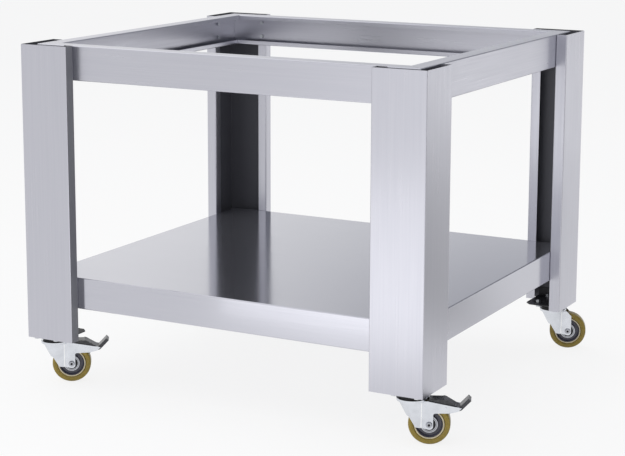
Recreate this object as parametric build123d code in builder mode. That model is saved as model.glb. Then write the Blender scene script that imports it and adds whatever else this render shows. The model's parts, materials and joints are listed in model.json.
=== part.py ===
from build123d import *
import os
from math import cos, radians, sin

# Pizza oven stand: four folded stainless legs, an open top frame of folded rails, a lower shelf
# and four swivel casters, the front two with a brake pedal. Millimetres, +X to the right,
# +Y to the back, +Z up. The origin is on the floor, below the middle of the stand.

# Stand, over the outer faces of the legs
stand_width = 1130.0
stand_depth = 1040.0
leg_length = 766.0

# Folded sheet
sheet = 1.5
bend_radius = 2.5

# Leg section: two walls, each with a lip folded in and a return folded back towards the corner
leg_wall = 140.0
leg_lip = 30.0
leg_return = 26.0

# Top rails: a lipped channel, with its web behind the returns of the legs
rail_height = 88.0
rail_top_flange = 45.0
rail_bottom_flange = 30.0
rail_hem = 12.0
mitre_gap = 0.3

# Shelf: a tray turned upside down, with its aprons behind the returns of the legs
shelf_rise = 168.0
shelf_apron = 82.0
shelf_hem = 20.0
stiffener_depth = 25.0
stiffener_crown = 40.0
stiffener_flange = 20.0
stiffener_pitch = 330.0
stiffener_end_gap = 4.0

# Frame bolts, through the returns of the legs
frame_bolt = 6.0
frame_bolt_hole = 6.6
frame_bolt_head_flats = 10.0
frame_bolt_head = 4.0
frame_nut = 5.0
bolt_end = 1.5
rail_bolt_edge = 24.0

# Foot plates, welded inside the bottom of the legs
foot_sheet = 3.0
foot_reach = 111.0
foot_flange = 26.0
foot_corner_cut = 9.0

# Caster plates, sunk in the ends of the legs, and the bolts that hold them
caster_inset = 50.0
plate_width = 85.0
plate_length = 95.0
plate_sheet = 4.0
plate_corner = 8.0
plate_bolt_across = 60.0
plate_bolt_along = 75.0
plate_bolt = 8.0
plate_bolt_hole = 9.0
plate_bolt_head_flats = 13.0
plate_bolt_head = 4.4
plate_nut = 6.5

# Swivel head, from the top down: boss of the plate, running gap, seal, crown of the fork
boss_height = 7.6
boss_top_radius = 34.0
boss_foot_radius = 31.0
swivel_gap = 0.4
seal_height = 5.5
seal_radius = 32.0
seal_bore_radius = 22.0
king_pin_radius = 6.0
king_pin_head_radius = 12.0
king_pin_head = 5.0
running_clearance = 0.05

# Wheel
wheel_diameter = 100.0
wheel_width = 34.0
tread_depth = 14.0
tread_edge = 5.0
tread_lip = 1.8
rim_depth = 4.0
rim_inset = 1.5
rim_slope = 2.5
web_thickness = 12.0
hub_radius = 21.0
bearing_radius = 17.5
bearing_width = 10.0
bearing_seat_gap = 0.05
wheel_side_gap = 1.5
wheel_top_gap = 7.0
spacer_radius = 9.0
spacer_gap = 0.2

# Fork, measured from the swivel axis along the trail, and up or down from the axle
caster_trail = 42.0
fork_sheet = 3.0
crown_sheet = 3.5
crown_radius = 37.0
crown_rim = 6.0
crown_step = 0.5
nose_reach = 34.0
nose_crease = 23.5
nose_proud = 1.2
nose_joggle = 1.5
nose_window_rise = 18.0
nose_window_step = 0.4
fork_foot_drop = 12.0
fork_foot_behind = 9.4
fork_foot_round = 8.5
fork_foot_tilt = 4.0
fork_rear_drop = 13.5
axle_radius = 5.0
axle_head_radius = 8.0
axle_head = 4.0
axle_head_taper = 20.0
axle_socket_flats = 6.0
axle_socket = 2.4
axle_nut_flats = 17.0
axle_nut = 8.0

# Brake arm of the front forks, measured from the axle
arm_length = 76.0
arm_under_rise = 28.0
arm_under_round = 5.0
arm_belly_along = 49.0
arm_belly_rise = 29.5
arm_tip_rise = 43.0
arm_end_rise = 34.5
arm_end_back = 8.0

# Brake pedal, a channel with its skirts turned down, measured from the axle
pedal_pin_along = 38.0
pedal_pin_rise = 41.0
pedal_pin_radius = 3.5
pedal_pin_proud = 0.8
pedal_sheet = 3.0
pedal_depth = 9.0
pedal_side_gap = 1.5
pedal_tail_along = -1.0
pedal_tail_rise = 60.5
pedal_hump_rise = 61.0
pedal_hump_round = 10.0
pedal_valley_along = 69.0
pedal_valley_rise = 43.0
pedal_valley_round = 2.5
pedal_tip_along = 91.0
pedal_tip_rise = 66.0
pedal_ear_along = 22.0
pedal_ear_rise = 56.0
pedal_ear_margin = 7.0
pedal_knuckle_radius = 6.5
pedal_knuckle_back = 4.0
pedal_knuckle_drop = 6.0
pedal_knuckle_proud = 1.0
pedal_travel = 12.0
shoe_depth = 7.0
shoe_length = 11.0
shoe_angle = 35.0
shoe_gap = 0.4

# Swivel angle of each caster at rest, from +X towards +Y, and whether it has a brake
casters = {
    "front_left": (-1, -1, 33.0, True),
    "front_right": (1, -1, 22.0, True),
    "rear_left": (-1, 1, 26.0, False),
    "rear_right": (1, 1, 20.0, False),
}
sides = {"front": 0.0, "right": 90.0, "rear": 180.0, "left": 270.0}

# Heights and places that follow from the sizes above
axle_rise = wheel_diameter / 2
crown_bottom = wheel_diameter + wheel_top_gap
crown_top = crown_bottom + crown_sheet
boss_bottom = crown_top + seal_height + swivel_gap
plate_bottom = boss_bottom + boss_height
foot_seat = plate_bottom + plate_sheet
leg_bottom = plate_bottom
leg_top = leg_bottom + leg_length
rail_bottom = leg_top - rail_height
shelf_top = leg_bottom + shelf_rise
shelf_bottom = shelf_top - shelf_apron
rail_bolt_heights = (rail_bottom + rail_bolt_edge, leg_top - rail_bolt_edge)
shelf_bolt_heights = (shelf_bottom + shelf_apron / 2,)
wheel_half = wheel_width / 2
cheek_inner = wheel_half + wheel_side_gap
cheek_outer = cheek_inner + fork_sheet
fork_foot = axle_rise - fork_foot_drop
fork_foot_rear = caster_trail + fork_foot_behind
rim_radius = wheel_diameter / 2 - tread_depth
axle_spot = Vector(caster_trail, axle_rise)
pedal_pin_spot = axle_spot + Vector(pedal_pin_along, pedal_pin_rise)
axle_seen_pressed = pedal_pin_spot + (axle_spot - pedal_pin_spot).rotate(Axis.Z, pedal_travel)

os.makedirs("parts", exist_ok=True)


def keep(builder, name):
    """Labels a finished piece and writes it under its name."""
    builder.part.label = name
    export_step(builder.part, f"parts/{name}.step")


def folded(plane, points, thickness, radius, turn):
    """Section of a folded sheet: its outer line runs through points, and it thickens to one side."""
    with BuildSketch(plane) as section:
        with BuildLine():
            FilletPolyline(*points, radius=radius)
            offset(amount=thickness, side=turn)
        make_face()
    return section.sketch


def side_frame(side):
    """Floor plane with X along a side and Y towards the middle, half that side's run and its reach."""
    frame = Plane.XY.rotated((0, 0, sides[side]))
    if side in ("front", "rear"):
        return frame, stand_width / 2, stand_depth / 2
    return frame, stand_depth / 2, stand_width / 2


def bolt_seats(side, heights):
    """Planes where the frame bolts of a side cross from a leg's return into the rail or the shelf."""
    frame, run, reach = side_frame(side)
    seats = []
    for end in (-1, 1):
        for height in heights:
            along = end * (run - leg_wall + leg_return / 2)
            spot = frame.from_local_coords(Vector(along, leg_lip - reach, height))
            seats.append(Plane(spot, x_dir=frame.x_dir, z_dir=frame.y_dir))
    return seats


def caster_centre(name):
    """Place of a caster's swivel axis on the floor."""
    across, back = casters[name][:2]
    return Vector(across * (stand_width / 2 - caster_inset), back * (stand_depth / 2 - caster_inset), 0)


def caster_frames(name):
    """Floor plane with X along the trail, upright plane along the trail, and level plane at the axle."""
    angle = radians(casters[name][2])
    trail = Vector(cos(angle), sin(angle), 0)
    floor = Plane(caster_centre(name), x_dir=trail, z_dir=(0, 0, 1))
    upright = Plane(floor.origin, x_dir=trail, z_dir=-floor.y_dir)
    axle = Plane(floor.from_local_coords(Vector(caster_trail, 0, axle_rise)), x_dir=trail, z_dir=(0, 0, 1))
    return floor, upright, axle


def plate_bolt_spots(name):
    """Places of the four bolts of a caster plate, on the floor."""
    centre = caster_centre(name)
    offsets = [(x, y) for x in (-1, 1) for y in (-1, 1)]
    return [centre + Vector(x * plate_bolt_across / 2, y * plate_bolt_along / 2, 0) for x, y in offsets]


def make_leg(name):
    """Folded leg: an L of two walls, each with its lip and return, drilled for the frame bolts."""
    across, back = casters[name][:2]
    inner = leg_wall - leg_return
    line = [(inner, leg_lip), (leg_wall, leg_lip), (leg_wall, 0), (0, 0), (0, leg_wall), (leg_lip, leg_wall),
            (leg_lip, inner)]
    outline = [(across * (stand_width / 2 - u), back * (stand_depth / 2 - v)) for u, v in line]
    turn = Side.RIGHT if across * back > 0 else Side.LEFT
    with BuildPart() as leg:
        extrude(folded(Plane.XY.offset(leg_bottom), outline, sheet, bend_radius, turn), amount=leg_length)
        for side in sides:
            for seat in bolt_seats(side, rail_bolt_heights + shelf_bolt_heights):
                if seat.origin.X * across > 0 and seat.origin.Y * back > 0:
                    with Locations(seat):
                        Cylinder(frame_bolt_hole / 2, 4 * sheet, mode=Mode.SUBTRACT)
    keep(leg, f"leg_{name}")


def make_rail(side):
    """Top rail: a lipped channel, open to the middle of the stand and mitred at both ends."""
    frame, run, reach = side_frame(side)
    web = leg_lip - reach
    half = run - leg_lip
    line = [(web + rail_top_flange, leg_top - rail_hem), (web + rail_top_flange, leg_top), (web, leg_top),
            (web, rail_bottom), (web + rail_bottom_flange, rail_bottom),
            (web + rail_bottom_flange, rail_bottom + rail_hem)]
    section = Plane((0, 0, 0), x_dir=frame.y_dir, z_dir=frame.x_dir)
    mitre = max(rail_top_flange, rail_bottom_flange)
    end = half - mitre_gap
    with BuildPart() as rail:
        extrude(folded(section, line, sheet, bend_radius, Side.LEFT), amount=half, both=True)
        with BuildSketch(frame.offset(rail_bottom)):
            inner = web + mitre
            Polygon((-end, web), (end, web), (end - mitre, inner), (mitre - end, inner), align=None)
        extrude(amount=rail_height, mode=Mode.INTERSECT)
        for seat in bolt_seats(side, rail_bolt_heights):
            with Locations(seat):
                Cylinder(frame_bolt_hole / 2, 4 * sheet, mode=Mode.SUBTRACT)
    keep(rail, f"top_rail_{side}")


def make_shelf():
    """Lower shelf: one sheet folded down into four aprons with an inward hem, corners welded."""
    width = stand_width - 2 * leg_lip
    depth = stand_depth - 2 * leg_lip
    with BuildPart() as shelf:
        with Locations((0, 0, shelf_bottom + shelf_apron / 2)):
            Box(width, depth, shelf_apron)
        fillet(shelf.edges(), bend_radius)
        with Locations((0, 0, shelf_bottom + shelf_apron / 2)):
            Box(width - 2 * sheet, depth - 2 * sheet, shelf_apron - 2 * sheet, mode=Mode.SUBTRACT)
        with Locations((0, 0, shelf_bottom)):
            Box(width - 2 * shelf_hem, depth - 2 * shelf_hem, 4 * sheet, mode=Mode.SUBTRACT)
        for side in sides:
            for seat in bolt_seats(side, shelf_bolt_heights):
                with Locations(seat):
                    Cylinder(frame_bolt_hole / 2, 4 * sheet, mode=Mode.SUBTRACT)
    keep(shelf, "shelf_tray")


def make_stiffeners():
    """Two hat sections welded under the shelf, from apron to apron."""
    top = shelf_top - sheet
    low = top - stiffener_depth
    half = stand_width / 2 - leg_lip - sheet - stiffener_end_gap
    crown, flange = stiffener_crown / 2, stiffener_crown / 2 + stiffener_flange
    with BuildPart() as stiffeners:
        for row in (-stiffener_pitch / 2, stiffener_pitch / 2):
            line = [(row - flange, top), (row - crown, top), (row - crown, low), (row + crown, low),
                    (row + crown, top), (row + flange, top)]
            section = Plane((0, 0, 0), x_dir=(0, 1, 0), z_dir=(1, 0, 0))
            extrude(folded(section, line, sheet, bend_radius, Side.RIGHT), amount=half, both=True)
    keep(stiffeners, "shelf_stiffeners")


def make_frame_bolts():
    """Hex bolts from the rails and the shelf into the returns of the legs, and their nuts."""
    seats = []
    for side in sides:
        seats += bolt_seats(side, rail_bolt_heights + shelf_bolt_heights)
    with BuildPart() as bolts:
        for seat in seats:
            with BuildSketch(seat.offset(sheet)):
                RegularPolygon(frame_bolt_head_flats / 2, 6, major_radius=False)
            extrude(amount=frame_bolt_head)
            with BuildSketch(seat.offset(sheet)):
                Circle(frame_bolt / 2)
            extrude(amount=-(2 * sheet + frame_nut + bolt_end))
    keep(bolts, "frame_bolts")
    with BuildPart() as nuts:
        for seat in seats:
            with BuildSketch(seat.offset(-sheet)):
                RegularPolygon(frame_bolt_head_flats / 2, 6, major_radius=False)
                Circle(frame_bolt / 2 + running_clearance, mode=Mode.SUBTRACT)
            extrude(amount=-frame_nut)
    keep(nuts, "frame_nuts")


def make_foot_plate(name):
    """Plate inside the bottom of a leg, with two flanges turned up along the walls."""
    across, back = casters[name][:2]

    def spot(u, v):
        return across * (stand_width / 2 - u), back * (stand_depth / 2 - v)

    near, start, wall = sheet, sheet + foot_corner_cut, sheet + foot_sheet
    base = [spot(start, near), spot(foot_reach, near), spot(foot_reach, foot_reach), spot(near, foot_reach),
            spot(near, start)]
    flanges = [[spot(start, near), spot(foot_reach, near), spot(foot_reach, wall), spot(start, wall)],
               [spot(near, start), spot(wall, start), spot(wall, foot_reach), spot(near, foot_reach)]]
    with BuildPart() as foot:
        with BuildSketch(Plane.XY.offset(foot_seat)):
            Polygon(*base, align=None)
        extrude(amount=foot_sheet)
        with BuildSketch(Plane.XY.offset(foot_seat)):
            for flange in flanges:
                Polygon(*flange, align=None)
        extrude(amount=foot_flange)
        with Locations(*[bolt + Vector(0, 0, foot_seat) for bolt in plate_bolt_spots(name)]):
            Cylinder(plate_bolt_hole / 2, 4 * foot_sheet, mode=Mode.SUBTRACT)
    keep(foot, f"foot_plate_{name}")


def make_plate_bolts():
    """Hex bolts up through the caster plates and the foot plates, and their nuts."""
    spots = []
    for name in casters:
        spots += plate_bolt_spots(name)
    nut_seat = foot_seat + foot_sheet
    shank = plate_sheet + foot_sheet + plate_nut + bolt_end
    with BuildPart() as bolts:
        with BuildSketch(Plane.XY.offset(plate_bottom)):
            with Locations(*spots):
                RegularPolygon(plate_bolt_head_flats / 2, 6, major_radius=False)
        extrude(amount=-plate_bolt_head)
        with BuildSketch(Plane.XY.offset(plate_bottom)):
            with Locations(*spots):
                Circle(plate_bolt / 2)
        extrude(amount=shank)
    keep(bolts, "caster_bolts")
    with BuildPart() as nuts:
        with BuildSketch(Plane.XY.offset(nut_seat)):
            with Locations(*spots):
                RegularPolygon(plate_bolt_head_flats / 2, 6, major_radius=False)
                Circle(plate_bolt / 2 + running_clearance, mode=Mode.SUBTRACT)
        extrude(amount=plate_nut)
    keep(nuts, "caster_nuts")


def make_swivel_head(name):
    """Caster plate with its boss, the king pin through it, and the seal that turns with the fork."""
    floor = caster_frames(name)[0]
    centre = caster_centre(name)
    with BuildPart() as plate:
        with BuildSketch(Plane(centre).offset(plate_bottom)):
            RectangleRounded(plate_width, plate_length, plate_corner)
        extrude(amount=plate_sheet)
        with BuildSketch(Plane(centre).offset(plate_bottom)) as boss_top:
            Circle(boss_top_radius)
        with BuildSketch(Plane(centre).offset(boss_bottom)) as boss_foot:
            Circle(boss_foot_radius)
        loft([boss_foot.sketch, boss_top.sketch])
        with Locations(*[bolt + Vector(0, 0, foot_seat) for bolt in plate_bolt_spots(name)]):
            Cylinder(plate_bolt_hole / 2, 4 * plate_sheet, mode=Mode.SUBTRACT)
        with Locations(centre + Vector(0, 0, foot_seat)):
            Cylinder(king_pin_radius + running_clearance, 4 * boss_height, mode=Mode.SUBTRACT)
    keep(plate, f"caster_plate_{name}")

    head_top = crown_bottom - swivel_gap
    with BuildPart() as pin:
        with BuildSketch(floor.offset(head_top - king_pin_head)):
            Circle(king_pin_head_radius)
        extrude(amount=king_pin_head)
        with BuildSketch(floor.offset(head_top)):
            Circle(king_pin_radius)
        extrude(amount=foot_seat - swivel_gap - head_top)
    keep(pin, f"king_pin_{name}")

    with BuildPart() as seal:
        with BuildSketch(floor.offset(crown_top)):
            Circle(seal_radius)
            Circle(seal_bore_radius, mode=Mode.SUBTRACT)
        extrude(amount=seal_height)
    keep(seal, f"swivel_seal_{name}")


def fork_section(plane, nose, half_width, proud, rear):
    """Level outline of a fork: straight cheeks, and a nose that swells round the swivel and stands proud."""
    swell = half_width + proud
    start = nose_crease + nose_joggle
    with BuildSketch(plane) as section:
        with BuildLine():
            Polyline((nose_crease, -swell), (start, -half_width), (rear, -half_width), (rear, half_width),
                     (start, half_width), (nose_crease, swell))
            ThreePointArc((nose_crease, swell), (nose, 0), (nose_crease, -swell))
        make_face()
    return section.sketch


def nose_at(height):
    """How far forward the nose of a fork reaches at a height: it rakes back from crown to foot."""
    foot_nose = nose_crease - cheek_outer
    share = (height - fork_foot) / (crown_bottom - fork_foot)
    return foot_nose - share * (nose_reach + foot_nose)


def make_fork(name):
    """Pressed fork: round crown, raked nose and two cheeks to the axle, with a brake arm at the front."""
    floor, upright, axle = caster_frames(name)
    braked = casters[name][3]
    arm_end = caster_trail + arm_length
    rear = arm_end if braked else fork_foot_rear
    front, below, above = -2 * crown_radius, fork_foot - fork_sheet, crown_radius + crown_step
    foot_corner, arm_corner = (fork_foot_rear, fork_foot), (fork_foot_rear, axle_rise + arm_under_rise)
    outline = [(front, fork_foot + fork_foot_tilt), (nose_crease, fork_foot + fork_foot_tilt),
               (caster_trail, fork_foot), foot_corner]
    if braked:
        outline += [arm_corner, (caster_trail + arm_belly_along, axle_rise + arm_belly_rise),
                    (arm_end - arm_end_back, axle_rise + arm_end_rise), (arm_end, axle_rise + arm_tip_rise)]
    else:
        outline += [(fork_foot_rear, crown_bottom - fork_rear_drop)]
    outline += [(above, crown_bottom), (above, crown_top), (front, crown_top)]
    with BuildPart() as fork:
        with Locations(floor.offset(crown_top)):
            Cylinder(crown_radius, crown_rim, align=(Align.CENTER, Align.CENTER, Align.MAX))
        with Locations(floor.offset(crown_bottom)):
            Cylinder(crown_radius - crown_sheet, crown_rim, align=(Align.CENTER, Align.CENTER, Align.MAX),
                     mode=Mode.SUBTRACT)
        low = fork_section(floor.offset(fork_foot), nose_at(fork_foot), cheek_outer, nose_proud, rear)
        high = fork_section(floor.offset(crown_bottom), nose_at(crown_bottom), cheek_outer, nose_proud, rear)
        loft([low, high], ruled=True)
        low = fork_section(floor.offset(below), nose_at(below) + fork_sheet, cheek_inner, 0, 2 * rear)
        inner_nose = nose_at(crown_bottom) + fork_sheet
        high = fork_section(floor.offset(crown_bottom), inner_nose, cheek_inner, 0, 2 * rear)
        loft([low, high], ruled=True, mode=Mode.SUBTRACT)
        with BuildSketch(upright) as window_side:
            with Locations((nose_crease + fork_sheet, axle_rise + nose_window_rise)):
                Rectangle(3 * crown_radius, crown_top, align=(Align.MAX, Align.MAX))
        extrude(window_side.sketch, amount=cheek_inner - nose_window_step, both=True, mode=Mode.SUBTRACT)
        with BuildSketch(upright) as side_view:
            Polygon(*outline, align=None)
            fillet(side_view.vertices().sort_by_distance(foot_corner)[0], fork_foot_round)
            if braked:
                fillet(side_view.vertices().sort_by_distance(arm_corner)[0], arm_under_round)
        extrude(side_view.sketch, amount=2 * crown_radius, both=True, mode=Mode.INTERSECT)
        with Locations(floor.offset(crown_top)):
            Cylinder(king_pin_radius + running_clearance, 4 * crown_sheet, mode=Mode.SUBTRACT)
        with BuildSketch(upright) as pin_holes:
            with Locations((axle_spot.X, axle_spot.Y)):
                Circle(axle_radius + running_clearance)
            if braked:
                with Locations((pedal_pin_spot.X, pedal_pin_spot.Y)):
                    Circle(pedal_pin_radius + running_clearance)
        extrude(pin_holes.sketch, amount=2 * cheek_outer, both=True, mode=Mode.SUBTRACT)
    keep(fork, f"fork_{name}")


def make_axle(name):
    """Axle bolt with a socket head, its nut, and the spacers between the bearings and the cheeks."""
    upright = caster_frames(name)[1]
    head_face = upright.offset(cheek_outer)
    nut_face = upright.offset(-cheek_outer)
    spot = (axle_spot.X, axle_spot.Y)
    with BuildPart() as axle:
        with BuildSketch(head_face):
            with Locations(spot):
                Circle(axle_head_radius)
        extrude(amount=axle_head, taper=axle_head_taper)
        with BuildSketch(head_face.offset(axle_head)):
            with Locations(spot):
                RegularPolygon(axle_socket_flats / 2, 6, major_radius=False)
        extrude(amount=-axle_socket, mode=Mode.SUBTRACT)
        with BuildSketch(head_face):
            with Locations(spot):
                Circle(axle_radius)
        extrude(amount=-(2 * cheek_outer + axle_nut + bolt_end))
        with BuildSketch(nut_face):
            with Locations(spot):
                RegularPolygon(axle_nut_flats / 2, 6, major_radius=False)
                Circle(axle_radius + running_clearance, mode=Mode.SUBTRACT)
        extrude(amount=-axle_nut)
        for face, way in ((upright.offset(cheek_inner), -1), (upright.offset(-cheek_inner), 1)):
            with BuildSketch(face):
                with Locations(spot):
                    Circle(spacer_radius)
                    Circle(axle_radius + running_clearance, mode=Mode.SUBTRACT)
            extrude(amount=way * (wheel_side_gap - spacer_gap))
    keep(axle, f"axle_{name}")


def make_wheel(name):
    """Wheel: cast core with hub, web and rim, bonded tread, and a ball bearing at each end of the hub."""
    axle = caster_frames(name)[2]
    spin = Axis(axle.origin, axle.y_dir)
    rim_half = wheel_half - rim_inset
    web_half = web_thickness / 2
    rim_inner = rim_radius - rim_depth
    half_core = [(bearing_radius, 0), (bearing_radius, wheel_half), (hub_radius, wheel_half),
                 (hub_radius, web_half), (rim_inner - rim_slope, web_half), (rim_inner, rim_half),
                 (rim_radius, rim_half), (rim_radius, 0)]
    with BuildPart() as core:
        with BuildSketch(axle):
            Polygon(*half_core, align=None)
            mirror(about=Plane.XZ)
        revolve(axis=spin)
    keep(core, f"wheel_core_{name}")

    lip, outer = rim_radius - tread_lip, wheel_diameter / 2
    half_tread = [(rim_radius, 0), (rim_radius, rim_half), (lip, rim_half), (lip, wheel_half),
                  (outer, wheel_half), (outer, 0)]
    with BuildPart() as tread:
        with BuildSketch(axle) as tread_side:
            Polygon(*half_tread, align=None)
            fillet(tread_side.vertices().sort_by_distance((outer, wheel_half))[0], tread_edge)
            mirror(about=Plane.XZ)
        revolve(axis=spin)
    keep(tread, f"tread_{name}")

    with BuildPart() as bearings:
        with BuildSketch(axle):
            bore = axle_radius + running_clearance
            width = bearing_radius - bearing_seat_gap - bore
            for end in (-1, 1):
                with Locations((bore + width / 2, end * (wheel_half - bearing_width / 2))):
                    Rectangle(width, bearing_width)
        revolve(axis=spin)
    keep(bearings, f"bearings_{name}")


def make_brake(name):
    """Brake pedal with its skirts, the shoe between them that meets the tread, and the pivot pin."""
    upright = caster_frames(name)[1]
    pin_spot = (pedal_pin_spot.X, pedal_pin_spot.Y)

    def spot(along, rise):
        return caster_trail + along, axle_rise + rise

    half_width = cheek_inner - pedal_side_gap
    tip, valley = spot(pedal_tip_along, pedal_tip_rise), spot(pedal_valley_along, pedal_valley_rise)
    hump = spot(pedal_pin_along, pedal_hump_rise)
    line = [spot(pedal_tail_along, pedal_tail_rise), hump, valley, tip]
    rounds = [pedal_hump_round, pedal_valley_round]
    ear_low = pedal_pin_rise - pedal_ear_margin
    ear = [hump, valley, spot(pedal_pin_along + 2 * pedal_ear_margin, ear_low),
           spot(pedal_pin_along, ear_low - pedal_ear_margin), spot(pedal_ear_along, pedal_ear_rise)]
    with BuildPart() as pedal:
        extrude(folded(upright, line, pedal_sheet, rounds, Side.RIGHT), amount=half_width, both=True)
        for face in (upright.offset(half_width - pedal_sheet), upright.offset(-half_width)):
            extrude(folded(face, line, pedal_depth, rounds, Side.RIGHT), amount=pedal_sheet)
            with BuildSketch(face) as ear_side:
                Polygon(*ear, align=None)
            extrude(ear_side.sketch, amount=pedal_sheet)
        with BuildSketch(upright) as knuckle:
            with Locations((hump[0] - pedal_knuckle_back, hump[1] - pedal_knuckle_drop)):
                Circle(pedal_knuckle_radius)
        extrude(knuckle.sketch, amount=half_width + pedal_knuckle_proud, both=True)
        with BuildSketch(upright) as clear:
            with Locations(pin_spot):
                Circle(pedal_pin_radius + running_clearance)
            with Locations((axle_spot.X, axle_spot.Y), (axle_seen_pressed.X, axle_seen_pressed.Y)):
                Circle(wheel_diameter / 2 + shoe_gap)
        extrude(clear.sketch, amount=2 * half_width, both=True, mode=Mode.SUBTRACT)
    keep(pedal, f"brake_pedal_{name}")

    lean = shoe_angle + pedal_travel
    centre = axle_seen_pressed + Vector(wheel_diameter / 2 + shoe_gap + shoe_depth / 2, 0).rotate(Axis.Z, lean)
    with BuildPart() as shoe:
        with BuildSketch(upright) as shoe_side:
            with Locations(Location((centre.X, centre.Y), lean)):
                Rectangle(shoe_depth, shoe_length)
            with Locations((axle_seen_pressed.X, axle_seen_pressed.Y)):
                Circle(wheel_diameter / 2 + shoe_gap, mode=Mode.SUBTRACT)
        extrude(shoe_side.sketch, amount=half_width - pedal_sheet, both=True)
    keep(shoe, f"brake_shoe_{name}")

    with BuildPart() as pin:
        with BuildSketch(upright):
            with Locations(pin_spot):
                Circle(pedal_pin_radius)
        extrude(amount=cheek_outer + pedal_pin_proud, both=True)
    keep(pin, f"pedal_pin_{name}")


for side in sides:
    make_rail(side)
make_shelf()
make_stiffeners()
make_frame_bolts()
make_plate_bolts()
for name in casters:
    make_leg(name)
    make_foot_plate(name)
    make_swivel_head(name)
    make_fork(name)
    make_axle(name)
    make_wheel(name)
    if casters[name][3]:
        make_brake(name)
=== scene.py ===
"""Looks of a pizza oven stand on swivel casters.

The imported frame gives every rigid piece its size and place. This script gives those pieces their finishes,
models the turned pieces of the wheels again with rounded edges, and sets up a plain studio.
"""

import json
import logging
from dataclasses import dataclass
from enum import Enum
from math import copysign, cos, pi, radians, sin

import bmesh
import bpy
from mathutils import Matrix, Vector


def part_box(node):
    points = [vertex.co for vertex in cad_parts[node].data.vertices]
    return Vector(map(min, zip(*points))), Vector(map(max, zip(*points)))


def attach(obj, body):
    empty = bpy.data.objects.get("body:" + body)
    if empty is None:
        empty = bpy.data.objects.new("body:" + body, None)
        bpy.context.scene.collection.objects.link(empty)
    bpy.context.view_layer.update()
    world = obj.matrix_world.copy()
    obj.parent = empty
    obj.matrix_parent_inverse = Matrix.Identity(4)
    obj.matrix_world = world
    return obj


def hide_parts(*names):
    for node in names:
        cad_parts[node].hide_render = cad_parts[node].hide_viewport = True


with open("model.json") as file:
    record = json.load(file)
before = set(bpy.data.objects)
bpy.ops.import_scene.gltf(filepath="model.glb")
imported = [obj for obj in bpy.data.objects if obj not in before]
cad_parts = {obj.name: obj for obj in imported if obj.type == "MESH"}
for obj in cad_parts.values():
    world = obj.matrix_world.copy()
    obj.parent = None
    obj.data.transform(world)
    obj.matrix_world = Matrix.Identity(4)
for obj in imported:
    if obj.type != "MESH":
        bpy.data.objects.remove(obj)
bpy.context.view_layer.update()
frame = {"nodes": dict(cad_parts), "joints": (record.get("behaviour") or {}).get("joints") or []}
log = logging.getLogger("oven_stand")

Tree = bpy.types.NodeTree
Node = bpy.types.Node
Socket = bpy.types.NodeSocket
Material = bpy.types.Material
Mesh = bmesh.types.BMesh
Triple = tuple[float, float, float]

MM = 0.001
MERGE_MM = 0.001
SHARP_ANGLE = radians(20)

# Most values of Blender's noise lie between these two
NOISE_LOW, NOISE_HIGH = 0.3, 0.7
NOISE_ROUGHNESS = 0.6

# Sockets of the Mix node: two values, two colours, and the mix of the colours
VALUE_A, VALUE_B = 2, 3
COLOUR_A, COLOUR_B, COLOUR_MIX = 6, 7, 2


def linear(hex_colour: str) -> tuple[float, float, float, float]:
    """Turns an sRGB hex colour to linear RGBA.

    Args:
        hex_colour: Six hex digits after a hash sign.

    Returns:
        Linear red, green and blue, and an alpha of 1.
    """
    parts = [int(hex_colour[i:i + 2], 16) / 255 for i in (1, 3, 5)]
    red, green, blue = (p / 12.92 if p <= 0.04045 else ((p + 0.055) / 1.055) ** 2.4 for p in parts)
    return red, green, blue, 1.0


def add_node(tree: Tree, kind: str, inputs: dict | None = None, **settings: object) -> Node:
    """Adds one shader node with its settings, values and links.

    Args:
        tree: Node tree that takes the node.
        kind: Class name of the node.
        inputs: What goes into each input, by name or number: a socket is linked, a value is set.
        settings: Attributes of the node.

    Returns:
        The new node.
    """
    node = tree.nodes.new(kind)
    for name, value in settings.items():
        setattr(node, name, value)
    for key, value in (inputs or {}).items():
        if isinstance(value, Socket):
            tree.links.new(value, node.inputs[key])
        else:
            node.inputs[key].default_value = value
    return node


class Grain(Enum):
    """Direction in which a sheet was brushed."""

    ALONG_X = 0
    ALONG_Y = 1
    UPRIGHT = 2


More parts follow.
